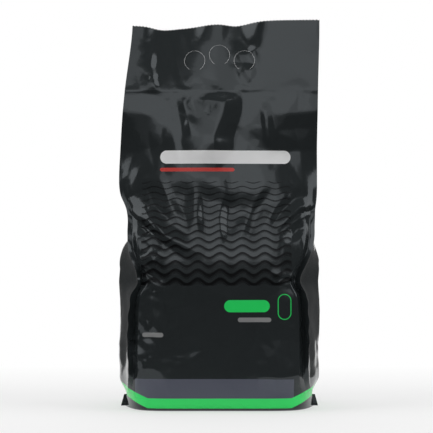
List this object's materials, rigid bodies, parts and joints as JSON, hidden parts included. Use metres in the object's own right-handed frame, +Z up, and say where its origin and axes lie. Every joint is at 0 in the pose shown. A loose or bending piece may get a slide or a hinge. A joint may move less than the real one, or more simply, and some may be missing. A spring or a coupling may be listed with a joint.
{
  "type": "bag of aquarium soil",
  "caption": "Tall gusseted film bag of granular aquarium soil, standing on its flat base, with a creased flat top, a sealed header and die-cut finger tabs for carrying.",
  "frame": {"origin": "middle of the bag's box, on the floor", "axes": "+X to the right of someone facing the front, +Y away from them through the bag, +Z up"},
  "size_m": [0.273, 0.1508, 0.5273],
  "materials": {
    "printed_film": "glossy near-black laminate film, creased"
  },
  "bodies": {
    "root": {"soil_bag": "printed_film"}
  },
  "joints": []
}
